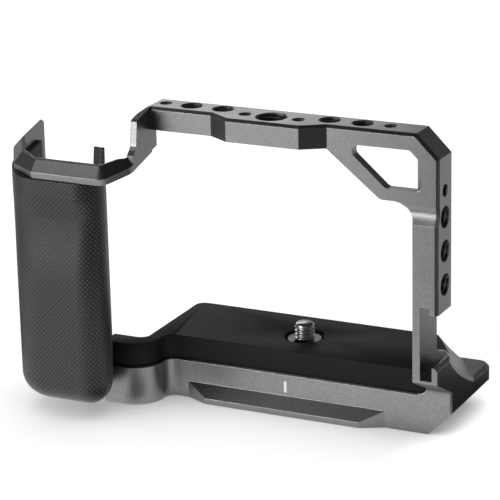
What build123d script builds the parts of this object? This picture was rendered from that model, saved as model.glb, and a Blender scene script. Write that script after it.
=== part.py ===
"""Camera cage with a silicone side grip, as separate pieces.

Frame: X to the right seen from the front, Y to the rear, Z up, in millimetres.
Origin: on the underside of the base, on the axis of the screw that holds the camera.
"""
import os
from math import atan, cos, sin

from build123d import *

# ---------------------------------------------------------------- driving dimensions
far = 200.0                 # cutters reach past every piece

# overall frame
top_z = 98.0                # top face of the top bar
side_x = 56.0               # outer face of the side bar and of the base
bar_left = -38.5            # left end of the top bar
face_y = -26.3              # front face of the top bar and gusset
back_y = -16.2              # rear face of the top bar and column
front_wall = 3.4            # thickness in front of the camera
corner_cut = 7.2            # 45 degree cut of the top right corner
edge_bevel = 0.9            # bevel along the outer front edges

# the camera that the cage is made for
pad_thin = 0.5              # rubber strips beside and above the camera
top_plate = 4.7             # thickness of the top bar over the camera
column_wide = 8.0
camera_left = -77.3
camera_right = side_x - column_wide - pad_thin
camera_front = face_y + front_wall
camera_bottom = 20.3
camera_top = top_z - top_plate - pad_thin

# top bar
bar_under = top_z - 7.2     # lower edge of the bar's front skirt
top_holes_x = 1.2           # middle of the row of holes
nose_front = face_y - 4.4
nose_half = 12.0            # half width of the nose's front
nose_root = 19.2            # half width of the nose at the bar
top_row_y = face_y + 5.9
middle_row_y = face_y + 2.7

# threads and plain holes: radius of the wall, radius at the mouth
quarter = (3.175, 3.5)
three_eighth = (4.7625, 5.0)
small_hole = (1.65, 2.05)
quarter_steps = (17.75, 28.4)
locating_step, locating_depth = 8.85, 4.2
outer_step = 37.3

# column
column_left = side_x - column_wide
gusset_low = top_z - 21.1   # lower edge of the gusset
proud_y = face_y - 0.9      # front face of the column's lower part
cove_z = (top_z - 27.4, top_z - 22.0)  # cove between the two front faces
slot_left = column_left + 2.4
slot_right = slot_left + 3.1
slot_top = 45.2
side_bar_end = slot_top - 2.2
side_row_y = face_y + 5.1
side_small_z = top_z - 17.6
side_quarter_z = side_small_z - 8.2  # highest of the threaded holes
side_pitch = 10.5
rear_rib = 2.6              # the inner leg stands out behind the column
rib_top = cove_z[0] - 6.6
rib_foot = 5.0              # height over which the leg widens to the tenon

# base
dovetail_half = 19.0        # half width over the two flanges
dovetail_lip = 1.8          # upright edge of a flange
wall_half = 15.4            # front and rear wall of the base
wing_top = 12.8             # top of the base's lower slab
wing_low = 6.5
wing_back = wall_half + 5.0
wing_left = 34.0
flange_root, flange_tip = 34.0, 26.5
under_bevel = 7.7           # 45 degree bevel under the right end
ledge_z = 22.0
lip_top = ledge_z + 4.5
lip_thick = 1.8
slope_low = 14.9            # the foot's slope meets the wall here
scoop_radius = 40.0
scoop_near = 33.7           # from the origin to the nearest point of the scoop, in plan
scoop_reach = scoop_near + scoop_radius
scoop_way = (0.84, 0.54)    # direction of the scoop in plan, to the right and back
scoop_rise = 31.5           # from the slab up to the axis of the scoop
scoop_over = 4.0            # the scoop's cut ends this far above the lip
seat_step = 0.8             # the pad's skirt stands back from the wall
foot_fillet = 3.0           # round between the foot and the top of the front wall
wall_bevel = 0.6            # bevel on the front wall's right end
seat_left, seat_back = -46.0, wall_half + 1.6
boss_left, boss_right, boss_depth = -58.0, -41.0, 13.4
boss_front = -wall_half - boss_depth
boss_back = -wall_half - 4.1
boss_inset = 1.8            # the seat on the boss stands back from its edge
rim_bevel = 0.5
outer_bevel = 1.0           # bevel around the lip and the wing
arm_low = 9.0               # underside of the arm that carries the grip
tripod_step, tripod_depth = 23.0, 9.0
pad_seat = 1.0              # rubber pad on the seat
strip_inset = 0.4           # the rubber strips stand back from the metal's edges
strip_end = 2.2             # the top strip ends this far from the bar's ends
strip_lift = 4.0            # height of the side strip's foot over the ledge
mark_x, mark_low, mark_high, mark_width, mark_depth = 0.15, 6.6, 10.2, 0.9, 0.3

# tenon of the frame in the base
tenon_y = (-13.4, -3.4)
tenon_low = 10.0
frame_clamp = 3.0           # base between the tenon and the heads of its screws
tenon_right = column_left + 5.0
slip = 0.05                 # clearance of a located piece
frame_screw_step = 2.6      # half the distance between the two screws
frame_screw_length = 11.0
arm_screw_length = 7.0
grip_screw_length = 9.0
shell_screw_length = 4.0

# grip
collar_slope = 0.25         # rise of the collar per millimetre to the rear
collar_y, collar_z = -45.5, top_z - 14.0
collar_front = collar_y - 3.3
collar_rear = -20.0
collar_bevel = 3.0
collar_band = 2.0
arm_wall = 2.2
arm_bevel = 1.2
arm_front = face_y - 8.7
post_y = (-26.0, -22.0)
post_x = (-82.3, -79.0)
foot_y = (post_y[0], -19.5)  # foot of the post on the arm of the base
foot_right, foot_thick = -66.0, 2.8
shell_wall = 1.4
sleeve_wall = 2.0
sleeve_low = 4.5
sleeve_round = 6.0
sleeve_end = post_y[0] - 0.2
floor_turn = 5.2
post_middle = sum(post_y) / 2
shell_screw_z = (26.0, collar_z - 16.0)
shell_edge_z = (18.0, collar_z - 8.0)

# captive camera screw
recess_radius, recess_depth = 10.3, 7.0
clip_recess_radius, clip_recess_floor = 6.5, 14.2
head_radius, head_top, head_bottom = 8.0, 6.5, 4.4
rib_half_width, rib_half_length, rib_bottom = 2.0, 5.6, 1.2
coin_slot = 1.6
ring_radius, ring_wire, ring_z = 7.6, 0.8, 2.9
ring_straight = 1.2         # the bow starts this far from the axis of the hinge
neck_radius = 2.4
thread_low, thread_tip = 19.7, 24.8
thread_radius, thread_bevel = 3.15, 0.6
clip_radius, clip_z = 5.4, (18.9, 19.6)

# fasteners: thread radius, head radius, head height
m3 = (1.5, 2.75, 3.0)
m3_low = (1.5, 2.75, 1.8)
m2 = (1.0, 1.9, 1.1)
m1_6 = (0.8, 1.5, 0.85)

seat_top = camera_bottom - pad_seat
seat_front = -wall_half + seat_step + pad_seat


# ---------------------------------------------------------------- helpers
def outline(*corners):
    """Closed face from (u, v, corner radius) triples."""
    face = make_face(Polyline(*[(u, v) for u, v, _ in corners], close=True))
    for radius in sorted({r for _, _, r in corners if r}):
        picked = [face.vertices().sort_by_distance((u, v, 0))[0] for u, v, r in corners if r == radius]
        face = fillet(picked, radius)
    return face


def from_front(face, front, back):
    """Extrude an X-Z outline between two Y positions."""
    return extrude(Plane((0, back, 0), x_dir=(1, 0, 0), z_dir=(0, -1, 0)) * face, amount=back - front)


def from_side(face, left, right):
    """Extrude a Y-Z outline between two X positions."""
    return extrude(Plane((left, 0, 0), x_dir=(0, 1, 0), z_dir=(1, 0, 0)) * face, amount=right - left)


def from_top(face, low, high):
    """Extrude an X-Y outline between two heights."""
    return extrude(Plane.XY.offset(low) * face, amount=high - low)


def block(x, y, z):
    """Box from three (low, high) pairs."""
    return Pos(sum(x) / 2, sum(y) / 2, sum(z) / 2) * Box(x[1] - x[0], y[1] - y[0], z[1] - z[0])


def bore(mouth, outward, size, depth):
    """Cutter for a hole with a bevelled mouth. outward points out of the mouth."""
    radius, mouth_radius = size
    rim = mouth_radius - radius
    cutter = Pos(0, 0, -depth / 2 + rim) * Cylinder(radius, depth + 2 * rim)
    cutter += Pos(0, 0, -rim / 2) * Cone(radius, mouth_radius, rim)
    return Plane(mouth, z_dir=outward) * cutter


def countersink(place, outward, size):
    """Cutter for the head of a countersunk screw, a little larger than the head."""
    radius, head, height = size
    cone = Pos(0, 0, -height / 2) * Cone(radius + slip, head + 2 * slip, height + 2 * slip)
    return Plane(place, z_dir=outward) * cone


def rod(start, direction, radius, length):
    """Solid cylinder from a point along a direction."""
    return Plane(start, z_dir=direction) * (Pos(0, 0, length / 2) * Cylinder(radius, length))


def scoop():
    """Hollow between the lip, the seat and the wing: a long cylinder laid across the corner."""
    across = Vector(*scoop_way, 0).normalized()
    middle = across * scoop_reach
    axis = Plane((middle.X, middle.Y, wing_top + scoop_rise), z_dir=(-across.Y, across.X, 0))
    reach = block((0, far), (-far, far), (wing_top, lip_top + scoop_over))
    return (axis * Cylinder(scoop_radius, far)) & reach


# ---------------------------------------------------------------- metal
def front_relief():
    """Air in front of the upper face, with the cove down to the proud lower column."""
    low, high = cove_z
    cove = Spline((proud_y, low), (face_y + 0.1, low + 2.4), (face_y + 0.35, low + 3.6), (face_y, high))
    ahead = nose_front - far
    rest = Polyline((face_y, high), (face_y, far), (ahead, far), (ahead, low), (proud_y, low))
    return from_side(make_face([cove, *rest.edges()]), -far, far)


def window():
    """Window in the gusset."""
    shape = outline((column_left - 22.8, camera_top, 2.0), (column_left - 1.2, camera_top + 0.1, 1.5),
                    (column_left + 2.9, top_z - 9.1, 1.5), (column_left + 3.0, top_z - 17.5, 2.2),
                    (column_left - 8.8, top_z - 17.5, 1.8))
    return from_front(shape, -far, camera_front)


def side_holes_z():
    """Heights of the threaded holes in the side face, from the top down to the slot."""
    heights, z = [], side_quarter_z
    while z > slot_top + quarter[1]:
        heights.append(z)
        z -= side_pitch
    return heights


def frame_plate():
    """Outline of bar, gusset and column, with the nose, its outer front edges bevelled."""
    front = outline(
        (bar_left, bar_under, 0), (bar_left, top_z, 0), (side_x - corner_cut, top_z, 0),
        (side_x, top_z - corner_cut, 0), (side_x, side_bar_end, 0), (slot_right, side_bar_end, 0),
        (slot_right, slot_top, 0), (slot_left, slot_top, 0), (slot_left, ledge_z, 0),
        (column_left, ledge_z, 0), (column_left, gusset_low, 6.5), (column_left - 10.6, gusset_low, 3.0),
        (column_left - 27.9, bar_under, 1.5))
    body = from_front(front, proud_y, back_y) - front_relief()
    nose = outline((top_holes_x - nose_root, face_y, 0), (top_holes_x - nose_half, nose_front, 0),
                   (top_holes_x + nose_half, nose_front, 0), (top_holes_x + nose_root, face_y, 0),
                   (top_holes_x + nose_root, camera_front, 0), (top_holes_x - nose_root, camera_front, 0))
    body += from_top(nose, bar_under, top_z)

    front_edges = [edge for edge in body.edges() if edge.center().Y < face_y + 0.01]
    top_edges = [edge for edge in front_edges if edge.center().Z > top_z - 0.01]
    corner_edges = [edge for edge in front_edges if edge.center().Z > top_z - corner_cut
                    and abs(edge.center().X - side_x + corner_cut / 2) < 0.01]
    side_edges = [edge for edge in body.edges() if edge.center().Y < face_y + 0.5
                  and edge.center().X > side_x - 0.01 and side_bar_end < edge.center().Z < top_z - corner_cut]
    return chamfer(top_edges + corner_edges + side_edges, edge_bevel)


def cage_frame():
    """Top bar, nose, gusset and right column in one machined piece."""
    body = frame_plate()
    body -= block((-far, column_left), (camera_front, far), (0, top_z - top_plate))
    body -= window()
    leg_back = back_y + rear_rib
    leg = outline((camera_front, ledge_z, 0), (tenon_y[1], ledge_z, 0), (tenon_y[1], ledge_z + 1.5, 0),
                  (leg_back, ledge_z + rib_foot, 2), (leg_back, rib_top, 3), (back_y - 2, rib_top + 8, 0),
                  (camera_front, rib_top + 8, 0))
    body += from_side(leg, column_left, slot_left)
    body += block((column_left, tenon_right), tenon_y, (tenon_low, ledge_z))
    body -= scoop()

    for side in (-1, 1):
        for step in quarter_steps:
            body -= bore((top_holes_x + side * step, top_row_y, top_z), (0, 0, 1), quarter, top_plate)
        body -= bore((top_holes_x + side * outer_step, top_row_y, top_z), (0, 0, 1), small_hole, top_plate)
        body -= bore((top_holes_x + side * locating_step, middle_row_y, top_z), (0, 0, 1), small_hole,
                     locating_depth)
    body -= bore((top_holes_x, middle_row_y, top_z), (0, 0, 1), three_eighth, top_z - bar_under)
    for z in side_holes_z():
        body -= bore((side_x, side_row_y, z), (1, 0, 0), quarter, column_wide)
    body -= bore((side_x, side_row_y, side_small_z), (1, 0, 0), small_hole, column_wide)

    for x, y in frame_screw_places():
        body -= rod((x, y, tenon_low - 1), (0, 0, 1), m3[0], 11)
    for y, z in arm_screw_places():
        body -= rod((bar_left - 1, y, z), (1, 0, 0), m1_6[0], 8)
    return body


def frame_screw_places():
    """(X, Y) of the two screws from below into the tenon."""
    x, middle = (column_left + tenon_right) / 2, sum(tenon_y) / 2
    return (x, middle - frame_screw_step), (x, middle + frame_screw_step)


def arm_screw_places():
    """(Y, Z) of the two screws in the left end of the top bar, in its front skirt."""
    return (face_y + front_wall / 2, top_z - 2.8), (face_y + front_wall / 2, top_z - 6.1)


def dovetail():
    """Front and rear flange with 45 degree upper faces and slanted ends."""
    rise = dovetail_lip + dovetail_half - wall_half
    section = outline((-wall_half + 1, 0, 0), (-dovetail_half, 0, 0), (-dovetail_half, dovetail_lip, 0),
                      (-wall_half, rise, 0), (-wall_half + 1, rise, 0))
    plan = outline((-flange_root, -wall_half + 1, 0), (-flange_root, -wall_half, 0),
                   (-flange_tip, -dovetail_half, 0), (flange_tip, -dovetail_half, 0),
                   (flange_root, -wall_half, 0), (flange_root, -wall_half + 1, 0))
    front = from_side(section, -flange_root, flange_root) & from_top(plan, 0, rise)
    return front + mirror(front, Plane.XZ)


def base_slab():
    """Lower slab of the base with its boss and wing."""
    slab = from_top(outline(
        (boss_left, boss_front, 2), (boss_right, boss_front, 9), (boss_right, -wall_half, 3.5),
        (side_x, -wall_half, 0), (side_x, wall_half, 0), (seat_left, wall_half, 5), (seat_left, boss_back, 4),
        (boss_left, boss_back, 0)), 0, wing_top)
    slab += from_top(outline(
        (wing_left, wall_half - 3, 0), (side_x, wall_half - 3, 0), (side_x, wing_back, 4),
        (wing_left + 2, wing_back, 3), (wing_left, wall_half, 0)), wing_low, wing_top)
    upper = slab.edges().filter_by_position(Axis.Z, wing_top - 0.01, wing_top + 0.01)
    return chamfer([edge for edge in upper if edge.center().Y < -wall_half + 0.01
                    or edge.center().X < boss_right and edge.center().Y < boss_back - 1], rim_bevel)


def seat_outline(inset, extra):
    """Plan of the raised seat. The rubber pad's outline is the same one, drawn further out."""
    left, right, front = boss_left + inset, boss_right - inset, boss_front + inset
    return [(left, front), (right, front), (right, seat_front - extra), (column_left, seat_front - extra)]


def rim_edges(body, low, high):
    """Outer edges of the lip, the scoop and the wing whose middle lies between two heights."""
    def outer(middle):
        right = middle.X > side_x - 0.01 and middle.Y > proud_y + 0.5
        return right and (middle.Z > ledge_z or middle.Y > -wall_half) or middle.Y > wing_back - 1.5

    return [edge for edge in body.edges() if low < edge.center().Z < high and outer(edge.center())]


def base_plate():
    """Base with its boss, foot, lip, wing and the arm that carries the grip."""
    body = base_slab()
    (left, front), (right, _), (_, step), (end, _) = seat_outline(boss_inset, 0)
    seat = outline((left, front, 0.5), (right, front, 7.2), (right, step, 5.3), (end, step, 0),
                   (end, seat_back, 0), (seat_left, seat_back, 3), (seat_left, boss_back - 1.5, 3),
                   (left, boss_back - 1.5, 0))
    body += from_top(seat, wing_top, seat_top)

    foot = outline((proud_y, ledge_z, 0), (proud_y, ledge_z - 0.9, 0.5), (-wall_half, slope_low, 2.5),
                   (-wall_half, wing_top - 2, 0), (wing_back, wing_top - 2, 0), (wing_back, ledge_z, 0))
    body += from_side(foot, column_left, side_x)
    body += block((side_x - lip_thick, side_x), (proud_y, 0), (ledge_z - 0.5, lip_top))
    body -= scoop()
    rear_corner = outline((side_x - 4, wing_back - 4, 0), (side_x, wing_back - 4, 0), (side_x, wing_back, 0),
                          (side_x - 4, wing_back, 0)) - Pos(side_x - 4, wing_back - 4) * Circle(4)
    body -= from_top(rear_corner, wing_low, ledge_z + 1)
    body = chamfer(rim_edges(body, wing_top - 0.01, wing_top + 0.01), outer_bevel)
    body = chamfer(rim_edges(body, wing_top + 0.1, lip_top + 0.1), outer_bevel)

    body += dovetail()
    under = outline((side_x - under_bevel, 0, 0), (side_x + 1, 0, 0), (side_x + 1, under_bevel + 1, 0))
    body -= from_front(under, -far, far)
    body += block((post_x[0], boss_left + 1), foot_y, (arm_low, wing_top))
    body -= from_top(outline((side_x - wall_bevel, -wall_half, 0), (side_x, -wall_half + wall_bevel, 0),
                             (side_x + 1, -wall_half - 1, 0)), 0, slope_low)
    corner = outline((column_left - foot_fillet, wing_top - 0.5, 0), (column_left + 0.5, wing_top - 0.5, 0),
                     (column_left + 0.5, wing_top + foot_fillet, 0),
                     (column_left - foot_fillet, wing_top + foot_fillet, 0))
    corner -= Pos(column_left - foot_fillet, wing_top + foot_fillet) * Circle(foot_fillet)
    body += from_front(corner, -wall_half, -wall_half + seat_step)

    body -= block((column_left - slip, tenon_right + slip), (tenon_y[0] - slip, tenon_y[1] + slip),
                  (tenon_low - slip, ledge_z + 9))
    for x, y in frame_screw_places():
        body -= rod((x, y, -1), (0, 0, 1), m3[0] + 2 * slip, tenon_low + 2)
        body -= rod((x, y, -1), (0, 0, 1), m3_low[1] + 3 * slip, 1 + tenon_low - frame_clamp)
    for x, y in grip_screw_places():
        body -= rod((x, y, arm_low - 1), (0, 0, 1), m3[0] + 2 * slip, wing_top - arm_low + 2)

    body -= Pos(0, 0, recess_depth / 2) * Cylinder(recess_radius, recess_depth)
    body -= Pos(0, 0, clip_recess_floor / 2) * Cylinder(quarter[0] + 4 * slip, clip_recess_floor)
    body -= Pos(0, 0, clip_recess_floor + 5) * Cylinder(clip_recess_radius, 10)
    for side in (-1, 1):
        body -= bore((side * tripod_step, 0, 0), (0, 0, -1), quarter, tripod_depth)
    return body - index_mark()


def grip_screw_places():
    """(X, Y) of the two screws from below into the foot of the grip frame."""
    middle = sum(foot_y) / 2
    return (post_x[1], middle), (foot_right - 5.5, middle)


def index_mark():
    """Enamel in the centre mark of the front wall."""
    return block((mark_x - mark_width / 2, mark_x + mark_width / 2), (-wall_half, -wall_half + mark_depth),
                 (mark_low, mark_high))


def collar_plane():
    """Sloping plane of the collar's upper edge."""
    tilt = atan(collar_slope)
    return Plane((0, collar_y, collar_z), x_dir=(1, 0, 0), z_dir=(0, -collar_slope * cos(tilt), cos(tilt)))


def collar():
    """Sloping ring, open to the rear, with a broad bevel around its upper outer edge."""
    lean = collar_bevel * sin(atan(collar_slope))
    stretch = 1 / cos(atan(collar_slope))
    left, inner_left, right = post_x[0], post_x[1], bar_left - arm_wall
    outer = ((left, collar_rear, 0), (left, collar_front + 13.3, 4), (left + 5.5, collar_front + 4, 0),
             (left + 13.9, collar_front, 0), (bar_left - 5.1, collar_front, 4),
             (bar_left, collar_front + 8.8, 6), (bar_left, collar_rear, 0))
    inner = ((right, far, 0), (right, collar_y + 6.1, 3), (right - 4.9, collar_y, 2.5),
             (left + 13.4, collar_y, 0), (left + 8.1, collar_y + 3.7, 0), (inner_left, collar_y + 11.7, 2),
             (inner_left, far, 0))
    plan = outline(*[(x, (y - lean - collar_y) * stretch, r) for x, y, r in outer])
    ring = extrude(plan, amount=collar_bevel, taper=45) + extrude(plan, amount=-collar_band)
    ring = collar_plane() * Pos(0, 0, -collar_bevel) * ring - from_top(outline(*inner), 0, far)
    ring -= block((left + 20, far), (post_y[0], far), (0, far))
    return ring - block((-far, left + 20), (post_y[1], far), (0, far))


def grip_frame():
    """Collar, arm and rear post around the camera's hand grip."""
    body = collar()
    arm = outline((back_y, top_z, 0), (face_y + 0.5, top_z, 2), (arm_front, top_z - 2.3, 1),
                  (arm_front - 1.0, top_z - 10.6, 3), (arm_front - 3.2, top_z - 12.6, 0),
                  (arm_front - 3.2, top_z - 16.8, 0), (face_y, collar_z + 0.2, 0),
                  (camera_front, collar_z + 1, 0), (camera_front, camera_top + pad_thin, 1.5),
                  (back_y, camera_top + pad_thin, 0))
    plate = from_side(arm, bar_left - arm_wall, bar_left)
    edge = outline((bar_left - arm_wall, top_z - arm_bevel, 0), (bar_left - arm_wall + arm_bevel, top_z, 0),
                   (bar_left - arm_wall, top_z, 0))
    body += plate - from_front(edge, -far, far)

    body += block(post_x, post_y, (wing_top, collar_z + 1))
    body += block((post_x[0], foot_right), foot_y, (wing_top, wing_top + foot_thick))
    body += block(post_x, foot_y, (wing_top, wing_top + 10))
    for y, z in arm_screw_places():
        body -= rod((bar_left + 1, y, z), (-1, 0, 0), m1_6[0] + slip, 6)
        body -= countersink((bar_left - arm_wall, y, z), (-1, 0, 0), m1_6)
    for x, y in grip_screw_places():
        body -= rod((x, y, wing_top - 1), (0, 0, 1), m3[0], 9)
    for z in shell_screw_z:
        body -= rod((post_x[1] + 1, post_middle, z), (-1, 0, 0), m2[0], 4)
    return body


# ---------------------------------------------------------------- grip cover
def grip_core(spread):
    """Plan of the camera's hand grip, spread outwards by a distance."""
    left, right, front = camera_left - 0.2, camera_left + 28.5, collar_y + 0.2
    core = outline((left, 0, 0), (left, front, 9.6), (right, front, 3.6), (right - 11.3, front + 21.3, 0),
                   (right - 11.3, 0, 0))
    return offset(core, spread, kind=Kind.ARC) if spread else core


def grip_layer(spread, wall, low, rounding, end):
    """Open wall around the hand grip with an in-turned rounded lower edge."""
    def filled(extra, z, radius):
        solid = from_top(grip_core(spread + extra), z, far)
        return fillet(solid.edges().filter_by_position(Axis.Z, z - 0.01, z + 0.01), radius)

    layer = filled(wall, low, rounding) - filled(0, low + wall, rounding - wall)
    layer -= from_top(grip_core(spread - floor_turn), 0, low + rounding + wall)
    layer -= block((-far, far), (end, far), (-far, far))
    layer -= block((foot_right, far), (boss_front - 0.8, far), (-far, camera_bottom + 0.4))
    gap = 0.2 + collar_band + collar_bevel
    return layer - collar_plane() * (Pos(0, 0, far / 2 - gap) * Box(2 * far, 2 * far, far))


def grip_shell():
    """Stiff shell under the silicone, with an edge that is screwed to the post."""
    shell = grip_layer(0, shell_wall, sleeve_low + sleeve_wall, sleeve_round - sleeve_wall, sleeve_end)
    side = camera_left - 0.2
    shell += block((side - shell_wall, side), (sleeve_end - 0.5, post_y[1]), shell_edge_z)
    for z in shell_screw_z:
        shell -= rod((side + 1, post_middle, z), (-1, 0, 0), m2[0] + slip, 6)
        shell -= countersink((side, post_middle, z), (1, 0, 0), m2)
    return shell


def grip_sleeve():
    """Soft silicone skin over the shell."""
    return grip_layer(shell_wall, sleeve_wall, sleeve_low, sleeve_round, sleeve_end)


# ---------------------------------------------------------------- rubber
def base_pad():
    """Rubber pad over the seat, with a skirt down to the front wall."""
    (left, front), (right, _), (_, step), (end, _) = seat_outline(boss_inset - pad_seat, pad_seat)
    plan = outline((left, front, 1), (right, front, 8.2), (right, step, 4.3), (end - slip, step, 0),
                   (end - slip, seat_back, 0), (seat_left, seat_back, 3), (seat_left, boss_back - 1.5, 3),
                   (left, boss_back - 1.5, 0))
    (left, front), (right, _), (_, step), (end, _) = seat_outline(boss_inset, 0)
    seat = outline((left, front, 0.5), (right, front, 7.2), (right, step, 5.3), (end + 1, step, 0),
                   (end + 1, seat_back + 1, 0), (left, seat_back + 1, 0))
    pad = from_top(plan, wing_top, camera_bottom) - from_top(seat, wing_top - 1, seat_top)
    return pad - scoop() - Pos(0, 0, camera_bottom) * Cylinder(clip_recess_radius, 10)


def top_pad():
    """Rubber strip under the top bar, open around the holes."""
    pad = block((bar_left + strip_end, column_left - strip_end),
                (camera_front + strip_inset, back_y - strip_inset), (camera_top, camera_top + pad_thin))
    for side in (-1, 1):
        for step in quarter_steps:
            pad -= Pos(top_holes_x + side * step, top_row_y, camera_top) * Cylinder(quarter[1], top_plate)
        end_hole = Cylinder(small_hole[1], top_plate)
        pad -= Pos(top_holes_x + side * outer_step, top_row_y, camera_top) * end_hole
    return pad - Pos(top_holes_x, middle_row_y, camera_top) * Cylinder(three_eighth[1], top_plate)


def column_pad():
    """Rubber strip on the inner side of the column."""
    front, rear = camera_front + strip_inset, back_y + rear_rib - strip_inset
    return block((camera_right, column_left), (front, rear), (ledge_z + strip_lift, rib_top))


# ---------------------------------------------------------------- camera screw
def camera_screw():
    """Captive screw: head with a coin slot, rib for the ring, plain neck and 1/4 inch end."""
    screw = Pos(0, 0, (head_bottom + head_top) / 2) * Cylinder(head_radius, head_top - head_bottom)
    screw = chamfer(screw.edges().filter_by(GeomType.CIRCLE), 0.4)
    screw += block((-rib_half_length, rib_half_length), (-rib_half_width, rib_half_width),
                   (rib_bottom, head_bottom + 0.5))
    screw -= block((-coin_slot / 2, coin_slot / 2), (-head_radius, head_radius), (0, rib_bottom + coin_slot))
    for side in (-1, 1):
        screw -= rod((side * (rib_half_length + 1), 0, ring_z), (-side, 0, 0), ring_wire + slip, 2.5)
    screw += Pos(0, 0, (head_top + thread_low) / 2) * Cylinder(neck_radius, thread_low - head_top + 0.2)
    tip = Pos(0, 0, (thread_low + thread_tip) / 2) * Cylinder(thread_radius, thread_tip - thread_low)
    return screw + chamfer(tip.edges().filter_by(GeomType.CIRCLE), thread_bevel)


def camera_screw_ring():
    """Folding ring, lying flat under the head: an eight-sided bow with two round pins in the rib."""
    arc = ThreePointArc((ring_radius, ring_straight, ring_z), (0, ring_radius + ring_straight, ring_z),
                        (-ring_radius, ring_straight, ring_z))
    start = Line((ring_radius, -ring_wire, ring_z), (ring_radius, ring_straight, ring_z))
    end = Line((-ring_radius, ring_straight, ring_z), (-ring_radius, -ring_wire, ring_z))
    section = RegularPolygon(ring_wire, 8, major_radius=False, rotation=22.5)
    section = Plane(start @ 0, z_dir=(0, 1, 0)) * section
    ring = sweep(section, path=Wire([start, arc, end]))
    reach = rib_half_length - 1.3
    for side in (-1, 1):
        ring += rod((side * ring_radius, 0, ring_z), (-side, 0, 0), ring_wire, ring_radius - reach)
    return ring


def camera_screw_clip():
    """Open clip on the neck, under the threaded end."""
    disc = Cylinder(clip_radius, clip_z[1] - clip_z[0]) - Cylinder(neck_radius + slip, 2)
    clip = Pos(0, 0, sum(clip_z) / 2) * disc
    return clip - block((-neck_radius + 0.5, neck_radius - 0.5), (-far, 0), (clip_z[0] - 1, clip_z[1] + 1))


def camera_screw_washer():
    """Thin plastic washer between the head and the base."""
    height = recess_depth - head_top
    return Pos(0, 0, head_top + height / 2) * (Cylinder(head_radius - 0.6, height) - Cylinder(quarter[0], 2))


# ---------------------------------------------------------------- fasteners
def cap_screw(place, direction, size, length):
    """Socket head screw: the place is the underside of its head, the direction points along its thread."""
    radius, head, height = size
    body = Pos(0, 0, length / 2 - 0.1) * Cylinder(radius, length + 0.2)
    top = Pos(0, 0, -height / 2) * Cylinder(head, height)
    top = chamfer(top.edges().filter_by(GeomType.CIRCLE).sort_by(Axis.Z)[0], 0.3)
    socket = Pos(0, 0, -height - 0.1) * extrude(RegularPolygon(radius * 0.83, 6), amount=height * 0.6)
    return Plane(place, z_dir=direction) * (body + top - socket)


def flat_screw(place, direction, size, length):
    """Countersunk screw: the place is the middle of its head's flat face."""
    radius, head, height = size
    body = Pos(0, 0, length / 2) * Cylinder(radius, length)
    top = Pos(0, 0, height / 2) * Cone(head, radius, height)
    socket = Pos(0, 0, -0.1) * extrude(RegularPolygon(radius * 0.7, 6), amount=0.8)
    return Plane(place, z_dir=direction) * (body + top - socket)


def frame_screws():
    """Two screws from below into the tenon."""
    size = (m3_low[0] - slip, *m3_low[1:])
    return [cap_screw((x, y, tenon_low - frame_clamp), (0, 0, 1), size, frame_screw_length)
            for x, y in frame_screw_places()]


def arm_screws():
    """Two countersunk screws through the arm into the top bar."""
    return [flat_screw((bar_left - arm_wall, y, z), (1, 0, 0), (m1_6[0] - slip, *m1_6[1:]), arm_screw_length)
            for y, z in arm_screw_places()]


def grip_screws():
    """Screws from below that hold the grip frame to the arm of the base."""
    return [cap_screw((x, y, arm_low), (0, 0, 1), (m3_low[0] - slip, *m3_low[1:]), grip_screw_length)
            for x, y in grip_screw_places()]


def shell_screws():
    """Two countersunk screws through the shell's edge into the post."""
    size = (m2[0] - slip, *m2[1:])
    return [flat_screw((camera_left - 0.2, post_middle, z), (-1, 0, 0), size, shell_screw_length)
            for z in shell_screw_z]


# ---------------------------------------------------------------- export
pieces = [
    cage_frame, base_plate, grip_frame, grip_shell, grip_sleeve, base_pad, top_pad, column_pad, index_mark,
    camera_screw, camera_screw_ring, camera_screw_clip, camera_screw_washer,
    frame_screws, arm_screws, grip_screws, shell_screws]

os.makedirs("parts", exist_ok=True)
for piece in pieces:
    made = piece()
    if isinstance(made, list):
        made = Compound(children=made)
    made.label = piece.__name__
    export_step(made, f"parts/{piece.__name__}.step")
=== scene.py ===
# %% [markdown]
# # A camera cage with a silicone grip
# The cage is machined from aluminium, bead-blasted and anodised black. It has a top bar with
# threaded holes, a column on one side, a base with dovetail flanges, and a slim frame that
# holds a soft silicone grip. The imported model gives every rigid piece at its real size. This
# script gives each one its finish, and makes the soft and fine pieces as detailed meshes.

# %% Load the frame
import math

import bmesh
import bpy
import numpy as np
from mathutils import Matrix, Vector


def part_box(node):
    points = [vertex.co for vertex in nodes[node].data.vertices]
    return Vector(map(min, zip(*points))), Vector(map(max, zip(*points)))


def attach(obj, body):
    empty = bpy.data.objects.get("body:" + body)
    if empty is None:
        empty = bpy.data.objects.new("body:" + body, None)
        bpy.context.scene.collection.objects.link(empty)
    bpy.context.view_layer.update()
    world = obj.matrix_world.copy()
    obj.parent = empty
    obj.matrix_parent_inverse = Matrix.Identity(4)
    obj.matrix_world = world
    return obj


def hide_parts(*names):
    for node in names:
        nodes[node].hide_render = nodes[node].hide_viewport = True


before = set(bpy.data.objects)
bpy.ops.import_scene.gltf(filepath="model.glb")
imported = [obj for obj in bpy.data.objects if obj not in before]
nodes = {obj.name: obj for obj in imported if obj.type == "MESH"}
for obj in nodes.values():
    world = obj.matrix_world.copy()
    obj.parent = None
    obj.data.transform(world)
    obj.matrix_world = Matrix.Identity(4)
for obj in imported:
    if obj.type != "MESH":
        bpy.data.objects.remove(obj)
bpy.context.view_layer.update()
MM = 0.001

# %% [markdown]
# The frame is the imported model, in metres. Where a new piece has to fit a packed one, its size
# could be written here once more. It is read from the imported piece's box instead, so that the
# two can't part.

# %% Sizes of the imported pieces
def box_in_mm(node):
    """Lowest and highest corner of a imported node's box, in millimetres."""
    return [[round(value / MM, 3) for value in corner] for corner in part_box(node)]


print("grip sleeve:", box_in_mm("grip_sleeve"))

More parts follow.
